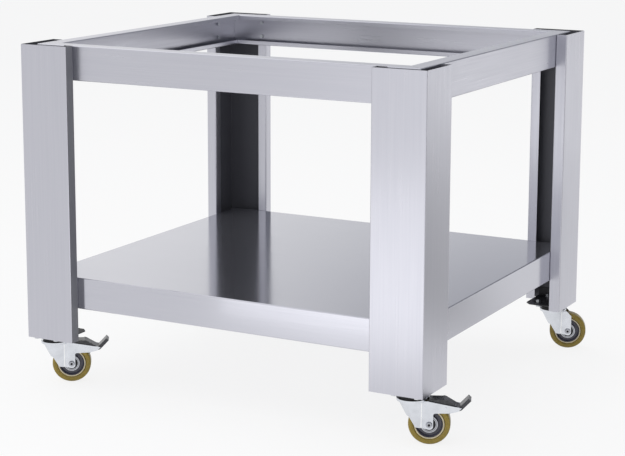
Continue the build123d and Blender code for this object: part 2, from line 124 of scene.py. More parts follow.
@dataclass(frozen=True)
class Finish:
    """A real material: its name, colour and gloss. Subclasses add what its making leaves on the surface."""

    name: str
    colour: str
    roughness: float
    metallic: float = 0.0

    def build(self) -> Material:
        """Makes the material.

        Returns:
            The material, with one Principled shader and this finish's pattern.
        """
        material = bpy.data.materials.new(self.name)
        material.use_nodes = True
        tree = material.node_tree
        tree.nodes.clear()
        shader = add_node(tree, "ShaderNodeBsdfPrincipled", {
            "Base Color": linear(self.colour), "Roughness": self.roughness, "Metallic": self.metallic})
        add_node(tree, "ShaderNodeOutputMaterial", {"Surface": shader.outputs["BSDF"]})
        self.pattern(tree, shader)
        return material

    def pattern(self, tree: Tree, shader: Node) -> None:
        """Adds nothing: a subclass gives its own pattern."""

    def noise(self, tree: Tree, size_mm: Triple, detail: float) -> Socket:
        """Adds noise on Object coordinates.

        Args:
            tree: Node tree of the material.
            size_mm: Size of one blotch along X, Y and Z.
            detail: Octaves of finer noise in it.

        Returns:
            The noise's value, about 0.5 on average.
        """
        place = add_node(tree, "ShaderNodeTexCoord").outputs["Object"]
        scaled = add_node(tree, "ShaderNodeMapping", {
            "Vector": place, "Scale": tuple(1 / (MM * size) for size in size_mm)}).outputs["Vector"]
        return add_node(tree, "ShaderNodeTexNoise", {
            "Vector": scaled, "Scale": 1.0, "Detail": detail, "Roughness": NOISE_ROUGHNESS}).outputs["Fac"]

    def blotched(self, tree: Tree, noise: Socket, other_colour: str, other_share: float) -> Socket:
        """Mixes another colour into this finish's own where a noise is high.

        Args:
            tree: Node tree of the material.
            noise: The noise's value.
            other_colour: The other colour.
            other_share: How much of it shows where the noise is highest.

        Returns:
            The mixed colour.
        """
        share = add_node(tree, "ShaderNodeMapRange", {
            "Value": noise, "From Min": NOISE_LOW, "From Max": NOISE_HIGH,
            "To Min": 0.0, "To Max": other_share})
        mix = add_node(tree, "ShaderNodeMix", {
            0: share.outputs["Result"], COLOUR_A: linear(self.colour), COLOUR_B: linear(other_colour)},
            data_type="RGBA")
        return mix.outputs[COLOUR_MIX]

    def uneven_gloss(self, tree: Tree, shader: Node, noise: Socket, smoother: float, rougher: float) -> None:
        """Lets the roughness follow a noise.

        Args:
            tree: Node tree of the material.
            shader: Its Principled shader.
            noise: The noise's value.
            smoother: How much less rough it is where the noise is low.
            rougher: How much rougher it is where the noise is high.
        """
        rough = add_node(tree, "ShaderNodeMapRange", {
            "Value": noise, "From Min": NOISE_LOW, "From Max": NOISE_HIGH,
            "To Min": self.roughness - smoother, "To Max": self.roughness + rougher})
        tree.links.new(rough.outputs["Result"], shader.inputs["Roughness"])


@dataclass(frozen=True)
class BrushedStainless(Finish):
    """Satin stainless sheet, brushed one way: a soft mirror whose blur is streaked along the brushing."""

    metallic: float = 1.0
    grain: Grain = Grain.UPRIGHT
    streak_width_mm: float = 3.0
    streak_length_mm: float = 260.0
    streak_detail: float = 3.0
    streak_gloss: float = 0.025
    brush_depth_mm: float = 0.1
    brush_strength: float = 0.03
    cloud_mm: float = 170.0
    cloud_detail: float = 2.0
    cloud_gloss: float = 0.012
    dull_colour: str = "#B9BAC4"
    dull_share: float = 0.35

    def streak_size(self) -> Triple:
        """Gives the size of a streak. Real brush lines are 0.1 mm, so they are drawn coarser to show.

        Returns:
            Size along X, Y and Z in millimetres.
        """
        size = [self.streak_width_mm] * 3
        size[self.grain.value] = self.streak_length_mm
        return tuple(size)

    def pattern(self, tree: Tree, shader: Node) -> None:
        """Adds the brushing and a faint clouding from handling.

        Args:
            tree: Node tree of the material.
            shader: Its Principled shader.
        """
        streaks = self.noise(tree, self.streak_size(), self.streak_detail)
        clouds = self.noise(tree, (self.cloud_mm,) * 3, self.cloud_detail)
        rough: float | Socket = self.roughness
        for noise, change in ((streaks, self.streak_gloss), (clouds, self.cloud_gloss)):
            gloss = add_node(tree, "ShaderNodeMapRange", {
                "Value": noise, "From Min": NOISE_LOW, "From Max": NOISE_HIGH,
                "To Min": -change, "To Max": change})
            rough = add_node(tree, "ShaderNodeMath", {0: gloss.outputs["Result"], 1: rough}).outputs[0]
        bump = add_node(tree, "ShaderNodeBump", {
            "Height": streaks, "Strength": self.brush_strength, "Distance": self.brush_depth_mm * MM})
        tree.links.new(bump.outputs["Normal"], shader.inputs["Normal"])
        colour = self.blotched(tree, streaks, self.dull_colour, self.dull_share)
        self.finish_sheet(tree, shader, colour, rough)

    def finish_sheet(self, tree: Tree, shader: Node, colour: Socket, rough: Socket) -> None:
        """Links colour and roughness as they are."""
        tree.links.new(colour, shader.inputs["Base Color"])
        tree.links.new(rough, shader.inputs["Roughness"])


@dataclass(frozen=True, kw_only=True)
class LegStainless(BrushedStainless):
    """Brushed sheet of the legs, darker on the two inner faces of the angle, and grey on the lip of the front
    walls, where the grey is painted shade, even and dull from top to bottom."""

    half_width: float
    half_depth: float
    darkened_colour: str
    # Grey of the front walls' lips: painted shade, even from top to bottom
    lip_painted_shade: str
    darkened_roughness: float = 0.5
    sheet_mm: float = 1.5
    wall_mm: float = 140.0
    undarkened_edge_mm: float = 1.35
    lip_mm: float = 30.0

    def inner_face(self, tree: Tree, from_wall: Socket, along_wall: Socket) -> Socket:
        """Finds the inner face of one wall.

        Args:
            tree: Node tree of the material.
            from_wall: Distance in from the wall's outer face.
            along_wall: Distance along the wall from the corner of the leg.

        Returns:
            1 on that face and 0 elsewhere.
        """
        half_wall = self.wall_mm / 2
        on_face = add_node(tree, "ShaderNodeMath", {
            0: from_wall, 1: self.sheet_mm * MM, 2: self.sheet_mm / 2 * MM}, operation="COMPARE")
        between = add_node(tree, "ShaderNodeMath", {
            0: along_wall, 1: half_wall * MM, 2: (half_wall - self.undarkened_edge_mm) * MM}, operation="COMPARE")
        return add_node(tree, "ShaderNodeMath", {
            0: on_face.outputs[0], 1: between.outputs[0]}, operation="MULTIPLY").outputs[0]

    def front_lip(self, tree: Tree, from_side: Socket, from_face: Socket, place: Socket) -> Socket:
        """Finds the lip at the inner edge of a front wall.

        Args:
            tree: Node tree of the material.
            from_side: Distance in from the side of the stand.
            from_face: Distance in from the front or the back of the stand.
            place: Place on the stand.

        Returns:
            1 on that lip and 0 elsewhere.
        """
        depth = add_node(tree, "ShaderNodeSeparateXYZ", {0: place}).outputs["Y"]
        share = add_node(tree, "ShaderNodeMath", {
            0: from_side, 1: self.wall_mm * MM, 2: self.sheet_mm / 2 * MM}, operation="COMPARE").outputs[0]
        for value, limit in ((from_face, self.lip_mm * MM), (depth, 0.0)):
            near = add_node(tree, "ShaderNodeMath", {0: value, 1: limit}, operation="LESS_THAN")
            share = add_node(tree, "ShaderNodeMath", {
                0: share, 1: near.outputs[0]}, operation="MULTIPLY").outputs[0]
        return share

    def finish_sheet(self, tree: Tree, shader: Node, colour: Socket, rough: Socket) -> None:
        """Mixes the darker colour in on the inner faces, and painted shade on the front lips.

        Args:
            tree: Node tree of the material.
            shader: Its Principled shader.
            colour: The brushed sheet's colour.
            rough: The brushed sheet's roughness.
        """
        place = add_node(tree, "ShaderNodeTexCoord").outputs["Object"]
        mirrored = add_node(tree, "ShaderNodeVectorMath", {0: place}, operation="ABSOLUTE").outputs[0]
        axes = add_node(tree, "ShaderNodeSeparateXYZ", {0: mirrored})
        from_side = add_node(tree, "ShaderNodeMath", {
            0: self.half_width, 1: axes.outputs["X"]}, operation="SUBTRACT").outputs[0]
        from_face = add_node(tree, "ShaderNodeMath", {
            0: self.half_depth, 1: axes.outputs["Y"]}, operation="SUBTRACT").outputs[0]
        inner = add_node(tree, "ShaderNodeMath", {
            0: self.inner_face(tree, from_side, from_face),
            1: self.inner_face(tree, from_face, from_side)}, operation="MAXIMUM").outputs[0]
        lip = self.front_lip(tree, from_side, from_face, place)
        darkened = add_node(tree, "ShaderNodeMath", {0: inner, 1: lip}, operation="MAXIMUM").outputs[0]
        # On the front lips the dark colour is painted shade
        darkened_colour = add_node(tree, "ShaderNodeMix", {
            0: lip, COLOUR_A: linear(self.darkened_colour), COLOUR_B: linear(self.lip_painted_shade)}, data_type="RGBA")
        mixed_colour = add_node(tree, "ShaderNodeMix", {
            0: darkened, COLOUR_A: colour, COLOUR_B: darkened_colour.outputs[COLOUR_MIX]}, data_type="RGBA")
        mixed_rough = add_node(tree, "ShaderNodeMix", {0: darkened, VALUE_A: rough, VALUE_B: self.darkened_roughness})
        undarkened = add_node(tree, "ShaderNodeMath", {0: 1.0, 1: darkened}, operation="SUBTRACT")
        tree.links.new(mixed_colour.outputs[COLOUR_MIX], shader.inputs["Base Color"])
        tree.links.new(mixed_rough.outputs[0], shader.inputs["Roughness"])
        tree.links.new(undarkened.outputs[0], shader.inputs["Metallic"])


@dataclass(frozen=True)
class ZincPlate(Finish):
    """Bright zinc plating on pressed steel: a pale bluish metal with faint clouding from the bath."""

    metallic: float = 1.0
    cloud_mm: float = 26.0
    cloud_detail: float = 1.0
    cloud_colour: str = "#CDD0D6"
    cloud_share: float = 0.6
    smoother: float = 0.02
    rougher: float = 0.03

    def pattern(self, tree: Tree, shader: Node) -> None:
        """Adds the clouding to colour and gloss.

        Args:
            tree: Node tree of the material.
            shader: Its Principled shader.
        """
        clouds = self.noise(tree, (self.cloud_mm,) * 3, self.cloud_detail)
        colour = self.blotched(tree, clouds, self.cloud_colour, self.cloud_share)
        tree.links.new(colour, shader.inputs["Base Color"])
        self.uneven_gloss(tree, shader, clouds, self.smoother, self.rougher)


@dataclass(frozen=True)
class CastPolyurethane(Finish):
    """Cast polyurethane tread: a waxy mustard rubber, darker where dust has rubbed in. Its real pits are
    finer than a pixel, so they are drawn coarser to show."""

    worn_colour: str = "#7E6F28"
    worn_share: float = 0.55
    scuff_mm: float = 7.0
    scuff_detail: float = 4.0
    smoother: float = 0.06
    rougher: float = 0.1
    pit_mm: float = 0.8
    pit_detail: float = 2.0
    pit_depth_mm: float = 0.1
    pit_strength: float = 0.15

    def pattern(self, tree: Tree, shader: Node) -> None:
        """Adds scuffs to colour and gloss, and fine pits to the surface.

        Args:
            tree: Node tree of the material.
            shader: Its Principled shader.
        """
        scuffs = self.noise(tree, (self.scuff_mm,) * 3, self.scuff_detail)
        colour = self.blotched(tree, scuffs, self.worn_colour, self.worn_share)
        tree.links.new(colour, shader.inputs["Base Color"])
        self.uneven_gloss(tree, shader, scuffs, self.smoother, self.rougher)
        pits = self.noise(tree, (self.pit_mm,) * 3, self.pit_detail)
        bump = add_node(tree, "ShaderNodeBump", {
            "Height": pits, "Strength": self.pit_strength, "Distance": self.pit_depth_mm * MM})
        tree.links.new(bump.outputs["Normal"], shader.inputs["Normal"])


@dataclass(frozen=True)
class Coating(Finish):
    """Paint, electrocoat or moulded rubber: one colour with the light grain of its skin. The real grain is
    finer than a pixel, so it is drawn coarser to show."""

    light_colour: str = "#3A3A3E"
    light_share: float = 0.4
    grain_mm: float = 1.2
    grain_detail: float = 3.0
    grain_depth_mm: float = 0.08
    grain_strength: float = 0.25

    def pattern(self, tree: Tree, shader: Node) -> None:
        """Adds the grain of the skin, and a lighter shade on its high spots.

        Args:
            tree: Node tree of the material.
            shader: Its Principled shader.
        """
        grain = self.noise(tree, (self.grain_mm,) * 3, self.grain_detail)
        colour = self.blotched(tree, grain, self.light_colour, self.light_share)
        tree.links.new(colour, shader.inputs["Base Color"])
        bump = add_node(tree, "ShaderNodeBump", {
            "Height": grain, "Strength": self.grain_strength, "Distance": self.grain_depth_mm * MM})
        tree.links.new(bump.outputs["Normal"], shader.inputs["Normal"])


def make_object(name: str, mesh: Mesh) -> bpy.types.Object:
    """Makes a mesh an object of the scene.

    Args:
        name: Name of the object.
        mesh: Mesh in its place, which is freed.

    Returns:
        The object, at the origin.
    """
    data = bpy.data.meshes.new(name)
    mesh.to_mesh(data)
    mesh.free()
    made = bpy.data.objects.new(name, data)
    bpy.context.scene.collection.objects.link(made)
    return made


def dress(piece: bpy.types.Object, material: Material) -> None:
    """Gives a piece one material.

    Args:
        piece: CAD node or new piece.
        material: Its finish.
    """
    if not piece.material_slots:
        piece.data.materials.append(None)
    for place in piece.material_slots:
        place.link = "OBJECT"
        place.material = material
    log.info("%s: %s", piece.name, material.name)


def dress_nodes(material: Material, *names: str) -> None:
    """Gives the CAD nodes of these names one material."""
    for name in names:
        dress(frame["nodes"][name], material)


def mirror_over_wheel(mesh: Mesh) -> None:
    """Repeats a mesh in an axle's frame on the other side of the wheel."""
    bmesh.ops.mirror(mesh, geom=mesh.verts[:] + mesh.edges[:] + mesh.faces[:], axis="Y", merge_dist=-1)
    bmesh.ops.recalc_face_normals(mesh, faces=mesh.faces)


@dataclass(frozen=True)
class Rounding:
    """A rounded edge: its width in millimetres and the facets across it."""

    width: float
    facets: int

    def apply(self, mesh: Mesh) -> None:
        """Rounds the sharp edges of a mesh."""
        sharp = [edge for edge in mesh.edges if edge.calc_face_angle(0) > SHARP_ANGLE]
        bmesh.ops.bevel(
            mesh, geom=sharp, offset=self.width * MM, offset_type="OFFSET", segments=self.facets,
            profile=0.5, affect="EDGES", material=-1, clamp_overlap=True)


@dataclass
class FoldedStand:
    """The folded sheet work: four legs, four top rails, the shelf and the plates in the feet."""

    corners: tuple[str, ...] = ("front_left", "front_right", "rear_left", "rear_right")
    sheet_colour: str = "#C6C6CE"
    sheet_roughness: float = 0.3
    shelf_roughness: float = 0.13
    shelf_metallic: float = 0.9
    dark_colour: str = "#5A5A60"
    # Grey of the legs' front lips: painted shade
    lip_painted_shade: str = "#84848A"
    foot_trim_mm: float = 9.0

    def sheet(self, label: str, grain: Grain, roughness: float, metallic: float = 1.0) -> Material:
        """Makes brushed sheet.

        Args:
            label: What the sheet is for.
            grain: Direction of its brushing.
            roughness: How far its reflections are blurred.
            metallic: Share of metal, a little under 1 where a fine haze veils the reflections.

        Returns:
            The material.
        """
        name = f"brushed_stainless_{label}"
        return BrushedStainless(name, self.sheet_colour, roughness, metallic, grain).build()

    def leg_sheet(self) -> Material:
        """Makes the legs' brushed sheet, which finds their walls from the outer corner of one leg.

        Returns:
            The material.
        """
        low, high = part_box("leg_front_right")
        finish = LegStainless(
            "brushed_stainless_leg", self.sheet_colour, self.sheet_roughness, half_width=high.x,
            half_depth=-low.y, darkened_colour=self.dark_colour, lip_painted_shade=self.lip_painted_shade)
        return finish.build()

    def trim_foot_plate(self, corner: str, dark: Material) -> None:
        """Makes a foot plate again with its free corner cut off.

        Args:
            corner: Corner of the stand.
            dark: Its near-black finish.
        """
        node = f"foot_plate_{corner}"
        mesh = bmesh.new()
        mesh.from_mesh(frame["nodes"][node].data)
        bmesh.ops.remove_doubles(mesh, verts=mesh.verts, dist=MERGE_MM * MM)
        low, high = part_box(node)
        free_corner = Vector((min(low.x, high.x, key=abs), min(low.y, high.y, key=abs), 0))
        inward = Vector((-copysign(1, free_corner.x), -copysign(1, free_corner.y), 0)).normalized()
        cut = bmesh.ops.bisect_plane(
            mesh, geom=mesh.verts[:] + mesh.edges[:] + mesh.faces[:], dist=MERGE_MM * MM,
            plane_co=free_corner - self.foot_trim_mm * MM * inward, plane_no=inward, clear_outer=True)
        rim = [edge for edge in cut["geom_cut"] if isinstance(edge, bmesh.types.BMEdge)]
        bmesh.ops.edgeloop_fill(mesh, edges=rim)
        bmesh.ops.recalc_face_normals(mesh, faces=mesh.faces)
        plate = make_object(f"trimmed_{node}", mesh)
        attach(plate, "stand")
        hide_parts(node)
        dress(plate, dark)

    def build(self) -> None:
        """Trims the foot plates, and gives the sheet work and its bolts their finishes."""
        dress_nodes(self.leg_sheet(), *(f"leg_{corner}" for corner in self.corners))
        across = self.sheet("across", Grain.ALONG_X, self.sheet_roughness)
        dress_nodes(across, "top_rail_front", "top_rail_rear")
        deep = self.sheet("deep", Grain.ALONG_Y, self.sheet_roughness)
        dress_nodes(deep, "top_rail_left", "top_rail_right")
        shelf = self.sheet("shelf", Grain.ALONG_X, self.shelf_roughness, self.shelf_metallic)
        dress_nodes(shelf, "shelf_tray", "shelf_stiffeners")
        # Foot plates: dull and near black, as dark as the inner faces of the legs
        dark = Coating("near_black_foot_steel", "#2A2A2E", roughness=0.5, light_colour="#38383D").build()
        for corner in self.corners:
            self.trim_foot_plate(corner, dark)
        # Plated bolts: bright, but less smooth than the pressings
        fastener = ZincPlate("zinc_plated_fastener", "#CDD0D2", roughness=0.3).build()
        dress_nodes(fastener, "frame_bolts", "frame_nuts", "caster_bolts", "caster_nuts")


@dataclass
class WheelFinishes:
    """Materials that the casters share."""

    zinc: Material
    ridge: Material
    steel: Material
    bolt: Material
    tread: Material
    lip: Material
    core: Material
    black: Material
    rubber: Material

    @classmethod
    def build(cls) -> "WheelFinishes":
        """Makes the materials.

        Returns:
            The set of them.
        """
        return cls(
            # Pressed steel, zinc plated: a smooth pale metal with soft clouds
            zinc=ZincPlate("zinc_plated_pressed_steel", "#DFE2E8", roughness=0.2).build(),
            # Zinc on the fork's crease, paler and more even than the plating beside it: a painted highlight
            ridge=ZincPlate("zinc_painted_highlight", "#F4F5F7", roughness=0.28, cloud_colour="#ECEEF1").build(),
            # Ground steel: bright, and a little darker than zinc
            steel=ZincPlate("ground_bearing_steel", "#C2C4C9", roughness=0.25).build(),
            # Oiled steel: greyer, with softer reflections
            bolt=ZincPlate("oiled_bolt_steel", "#B6B8BE", roughness=0.3, cloud_colour="#A4A6AC").build(),
            # Polyurethane cast round the rim: waxy mustard with scuffs
            tread=CastPolyurethane("cast_polyurethane", "#A8903A", roughness=0.34).build(),
            # The same, thin over the edge of the rim: pale cream
            lip=CastPolyurethane(
                "thin_polyurethane_lip", "#E8DCBC", roughness=0.4, worn_colour="#D6C69A").build(),
            # Cast iron under paint: blue grey with a coarse grain
            core=Coating(
                "painted_cast_iron", "#5A5964", roughness=0.28, light_colour="#72717C",
                grain_mm=1.6).build(),
            # Black electrocoat: near black with grey flecks, partly wear on its high spots and partly painted
            # highlights. On the caster plate it is painted shade.
            black=Coating(
                "worn_black_electrocoat_painted_glints_and_shade", "#343438", roughness=0.25, light_colour="#6A6A6E",
                grain_mm=3.5).build(),
            # Moulded rubber: dull and near black. In the axle bolt's socket it is painted shade.
            rubber=Coating("moulded_rubber_and_painted_shade", "#131315", roughness=0.6, light_colour="#202023").build(),
        )


@dataclass
class Caster:
    """One swivel caster. Its turned pieces are modelled here in the frame of its axle: X along the trail,
    Y along the axle and Z up. Sizes are in millimetres."""

    name: str
    finishes: WheelFinishes
    braked: bool
    wheel_steps: int = 96
    small_steps: int = 24
    wheel_radius: float = 50.0
    wheel_half: float = 17.0
    tread_round: Rounding = Rounding(5.0, 6)
    rim_radius: float = 36.0
    rim_half: float = 15.5
    rim_inner: float = 32.0
    lip_width: float = 3.2
    lip_round: Rounding = Rounding(0.4, 2)
    dish_radius: float = 29.5
    web_half: float = 6.0
    hub_radius: float = 21.0
    core_round: Rounding = Rounding(0.9, 3)
    # How far the hub's face stays clear of its inner and outer edge, at the foot and at the top
    hub_face_foot: tuple[float, float] = (0.9, 0.4)
    hub_face_top: tuple[float, float] = (1.1, 0.7)
    hub_face_rise: float = 0.15
    hub_face_round: Rounding = Rounding(0.04, 1)
    bearing_radius: float = 17.5
    bearing_bore: float = 5.1
    bearing_width: float = 10.0
    bearing_play: float = 0.05
    bearing_round: Rounding = Rounding(0.25, 2)
    race_width: float = 1.8
    race_height: float = 0.6
    shield_gap: float = 0.1
    shield_below: float = 0.2
    shield_round: Rounding = Rounding(0.1, 2)
    socket_bottom: float = 23.1
    socket_radius: float = 2.9
    # Depth of the disc of painted shade at the bottom of the socket
    socket_shade_depth: float = 0.6
    pedal_tip: tuple[float, float] = (91.0, 66.0)
    pedal_valley: tuple[float, float] = (69.0, 43.0)
    pedal_half: float = 17.0
    pedal_sheet: float = 3.0
    pedal_depth: float = 9.0
    pedal_round: Rounding = Rounding(0.3, 2)
    crease_along: float = -18.5
    crease_out: float = 22.4
    crease_ends: tuple[float, float] = (-7.4, 55.0)
    crease_half: float = 2.2
    crease_flatness: float = 0.45
    crease_round: Rounding = Rounding(1.76, 4)

    def axle_frame(self) -> Matrix:
        """Finds the place and turn of the axle.

        Returns:
            The matrix from the axle's frame to the stand's.
        """
        low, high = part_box(f"tread_{self.name}")
        joint = next(j for j in frame["joints"] if j["name"] == f"roll_{self.name}")
        along = Vector(joint["axis"]).normalized()
        up = Vector((0, 0, 1))
        turn = Matrix((along.cross(up), along, up)).transposed().to_4x4()
        return Matrix.Translation((low + high) / 2) @ turn

    def piece(self, label: str, mesh: Mesh, body: str) -> bpy.types.Object:
        """Puts a mesh in its place on the axle and makes it a piece.

        Args:
            label: First words of the piece's name.
            mesh: Mesh in the axle's frame, which is freed.
            body: Body that the piece moves with.

        Returns:
            The piece.
        """
        bmesh.ops.transform(mesh, matrix=self.axle_frame(), verts=mesh.verts)
        made = make_object(f"{label}_{self.name}", mesh)
        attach(made, body)
        return made

    def turned(self, label: str, outline: list[tuple[float, float]], rounding: Rounding,
               both_ends: bool = False) -> bpy.types.Object:
        """Turns a closed outline about the axle and rounds its rings.

        Args:
            label: What the piece is, for its name.
            outline: Corners as radius and distance along the axle.
            rounding: Rounding of the rings.
            both_ends: Whether the shape is repeated at the other end of the hub.

        Returns:
            The piece, riding on its wheel.
        """
        mesh = bmesh.new()
        corners = [mesh.verts.new((0, along * MM, radius * MM)) for radius, along in outline]
        for start, end in zip(corners, corners[1:] + corners[:1]):
            mesh.edges.new((start, end))
        bmesh.ops.spin(
            mesh, geom=mesh.verts[:] + mesh.edges[:], cent=(0, 0, 0), axis=(0, 1, 0), dvec=(0, 0, 0),
            angle=2 * pi, steps=self.wheel_steps, use_merge=True)
        bmesh.ops.remove_doubles(mesh, verts=mesh.verts, dist=MERGE_MM * MM)
        bmesh.ops.recalc_face_normals(mesh, faces=mesh.faces)
        rounding.apply(mesh)
        if both_ends:
            mirror_over_wheel(mesh)
        piece = self.piece(f"turned_{label}", mesh, f"wheel_{self.name}")
        piece.data.shade_smooth()
        return piece

    def build_tread(self) -> None:
        """Models the tread with its rounded shoulders, and the thin lip that it leaves over the rim."""
        outline = [(self.rim_radius, -self.wheel_half), (self.wheel_radius, -self.wheel_half),
                   (self.wheel_radius, self.wheel_half), (self.rim_radius, self.wheel_half)]
        tread = self.turned("tread", outline, self.tread_round)
        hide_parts(f"tread_{self.name}")
        dress(tread, self.finishes.tread)
        inner = self.rim_radius - self.lip_width
        outline = [(inner, self.rim_half), (self.rim_radius, self.rim_half),
                   (self.rim_radius, self.wheel_half), (inner, self.wheel_half)]
        lip = self.turned("tread_lip", outline, self.lip_round, both_ends=True)
        dress(lip, self.finishes.lip)

    def build_core(self) -> None:
        """Models the dished core with its hub, and the bright turned face of the hub."""
        end, raised = self.wheel_half, self.wheel_half + self.hub_face_rise
        half = [(self.bearing_radius, end), (self.hub_radius, end),
                (self.hub_radius, self.web_half), (self.dish_radius, self.web_half),
                (self.rim_inner, self.rim_half), (self.rim_radius, self.rim_half)]
        outline = half + [(radius, -along) for radius, along in reversed(half)]
        core = self.turned("core", outline, self.core_round)
        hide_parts(f"wheel_core_{self.name}")
        dress(core, self.finishes.core)
        (foot_inner, foot_outer), (top_inner, top_outer) = self.hub_face_foot, self.hub_face_top
        outline = [(self.bearing_radius + foot_inner, end), (self.hub_radius - foot_outer, end),
                   (self.hub_radius - top_outer, raised), (self.bearing_radius + top_inner, raised)]
        face = self.turned("hub_face", outline, self.hub_face_round, both_ends=True)
        dress(face, self.finishes.steel)

    def build_bearings(self) -> None:
        """Models the two ball bearings, with their rings, and the rubber shields sunk between them."""
        end, inner_end = self.wheel_half, self.wheel_half - self.bearing_width
        sunk, shield_end = end - self.race_height, end - self.shield_below
        bore, ring = self.bearing_bore, self.bearing_radius - self.bearing_play
        inner_race, outer_race = bore + self.race_width, ring - self.race_width
        outline = [(bore, inner_end), (ring, inner_end), (ring, end), (outer_race, end), (outer_race, sunk),
                   (inner_race, sunk), (inner_race, end), (bore, end)]
        bearings = self.turned("bearings", outline, self.bearing_round, both_ends=True)
        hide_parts(f"bearings_{self.name}")
        dress(bearings, self.finishes.steel)
        inner, outer = inner_race + self.shield_gap, outer_race - self.shield_gap
        outline = [(inner, sunk), (outer, sunk), (outer, shield_end), (inner, shield_end)]
        shields = self.turned("bearing_shields", outline, self.shield_round, both_ends=True)
        dress(shields, self.finishes.rubber)

    def build_socket_shade(self) -> None:
        """Models a dark disc at the bottom of the axle bolt's socket: painted shade in the recess."""
        mesh = bmesh.new()
        place = Matrix.Translation((0, -(self.socket_bottom + self.socket_shade_depth / 2) * MM, 0))
        bmesh.ops.create_cone(
            mesh, cap_ends=True, segments=self.small_steps, radius1=self.socket_radius * MM,
            radius2=self.socket_radius * MM, depth=self.socket_shade_depth * MM,
            matrix=place @ Matrix.Rotation(radians(90), 4, "X"))
        bmesh.ops.recalc_face_normals(mesh, faces=mesh.faces)
        shade_disc = self.piece("socket_painted_shade", mesh, f"swivel_{self.name}")
        # Dark rubber finish on the disc: painted shade at the bottom of the socket
        dress(shade_disc, self.finishes.rubber)

    def build_pedal_end(self) -> None:
        """Models the plate that closes the channel of the brake pedal at its tip."""
        tip, valley = (Vector((along, 0, rise)) for along, rise in (self.pedal_tip, self.pedal_valley))
        out = (tip - valley).normalized()
        down = Vector((out.z, 0, -out.x))
        inner_width = 2 * (self.pedal_half - self.pedal_sheet)
        size = Vector((self.pedal_sheet, inner_width, self.pedal_depth - self.pedal_sheet))
        middle = tip - size.x / 2 * out + (self.pedal_sheet + size.z / 2) * down
        turn = Matrix((out, Vector((0, 1, 0)), down)).transposed().to_4x4()
        place = Matrix.Translation(middle * MM) @ turn @ Matrix.Diagonal((*size, 1))
        mesh = bmesh.new()
        bmesh.ops.create_cube(mesh, size=MM, matrix=place)
        bmesh.ops.recalc_face_normals(mesh, faces=mesh.faces)
        self.pedal_round.apply(mesh)
        end = self.piece("pedal_end", mesh, f"pedal_{self.name}")
        dress(end, self.finishes.black)

    def build_fork_creases(self) -> None:
        """Models the bead where the fork's nose steps down to each cheek: pale zinc, a painted highlight."""
        low, high = self.crease_ends
        place = Matrix.Translation(Vector((self.crease_along, -self.crease_out, (low + high) / 2)) * MM)
        flattened = place @ Matrix.Diagonal((1, self.crease_flatness, 1, 1))
        mesh = bmesh.new()
        bmesh.ops.create_cone(
            mesh, cap_ends=True, segments=self.small_steps, radius1=self.crease_half * MM,
            radius2=self.crease_half * MM, depth=(high - low) * MM)
        self.crease_round.apply(mesh)
        bmesh.ops.transform(mesh, matrix=flattened, verts=mesh.verts)
        mirror_over_wheel(mesh)
        creases = self.piece("fork_creases", mesh, f"swivel_{self.name}")
        creases.data.shade_smooth()
        # Pale zinc on the bead: a painted highlight along the crease
        dress(creases, self.finishes.ridge)

    def dress_pressings(self) -> None:
        """Gives the pressed and turned steel pieces, the seal and the shoe their finishes."""
        dress_nodes(self.finishes.zinc, f"fork_{self.name}", f"king_pin_{self.name}")
        dress_nodes(self.finishes.bolt, f"axle_{self.name}")
        # The caster plate's near black is painted shade, the shadow under the leg
        dress_nodes(self.finishes.black, f"caster_plate_{self.name}")
        dress_nodes(self.finishes.rubber, f"swivel_seal_{self.name}")
        if self.braked:
            dress_nodes(self.finishes.black, f"brake_pedal_{self.name}")
            dress_nodes(self.finishes.rubber, f"brake_shoe_{self.name}")
            dress_nodes(self.finishes.zinc, f"pedal_pin_{self.name}")

    def build(self) -> None:
        """Models and dresses the caster."""
        self.build_tread()
        self.build_core()
        self.build_bearings()
        self.build_socket_shade()
        self.build_fork_creases()
        if self.braked:
            self.build_pedal_end()
        self.dress_pressings()


@dataclass(frozen=True)
class Softbox:
    """A soft lamp that looks at a point. Metres and watts."""

    name: str
    place: Triple
    aim: Triple
    width: float
    height: float
    power: float

    def build(self) -> None:
        """Makes the lamp."""
        lamp = bpy.data.lights.new(self.name, "AREA")
        lamp.shape = "RECTANGLE"
        lamp.size = self.width
        lamp.size_y = self.height
        lamp.energy = self.power
        holder = bpy.data.objects.new(self.name, lamp)
        holder.location = self.place
        holder.rotation_mode = "QUATERNION"
        holder.rotation_quaternion = (Vector(self.aim) - Vector(self.place)).to_track_quat("-Z", "Y")
        bpy.context.scene.collection.objects.link(holder)


@dataclass(frozen=True)
class FloorPatch:
    """A soft patch of the floor that is brighter or darker in reflections. Each edge has the place where it
    starts and the place where the patch is full: across the line that the camera sees mirrored in the
    upright faces at the middle of the stand, and towards the back. Metres."""

    change: float
    across: tuple[tuple[float, float], ...]
    back: tuple[tuple[float, float], ...]
    mirror_slope: float = 0.55

    def share(self, tree: Tree) -> Socket:
        """Finds the patch.

        Args:
            tree: Node tree of the floor.

        Returns:
            1 where the patch is full, fading to 0 around it.
        """
        place = add_node(tree, "ShaderNodeTexCoord").outputs["Object"]
        axes = add_node(tree, "ShaderNodeSeparateXYZ", {0: place})
        depth = axes.outputs["Y"]
        off_line = add_node(tree, "ShaderNodeMath", {
            0: depth, 1: -self.mirror_slope, 2: axes.outputs["X"]}, operation="MULTIPLY_ADD").outputs[0]
        edges = [(off_line, edge) for edge in self.across] + [(depth, edge) for edge in self.back]
        share: float | Socket = 1.0
        for value, (start, full) in edges:
            step = add_node(tree, "ShaderNodeMapRange", {
                "Value": value, "From Min": start, "From Max": full}, interpolation_type="SMOOTHSTEP")
            share = add_node(tree, "ShaderNodeMath", {
                0: share, 1: step.outputs["Result"]}, operation="MULTIPLY").outputs[0]
        return share


@dataclass(frozen=True)
class WallShade:
    """A soft change of the wall's colour along one axis of the view: where it starts, where it is full, and
    the colour there."""

    axis: str
    start: float
    full: float
    colour: str


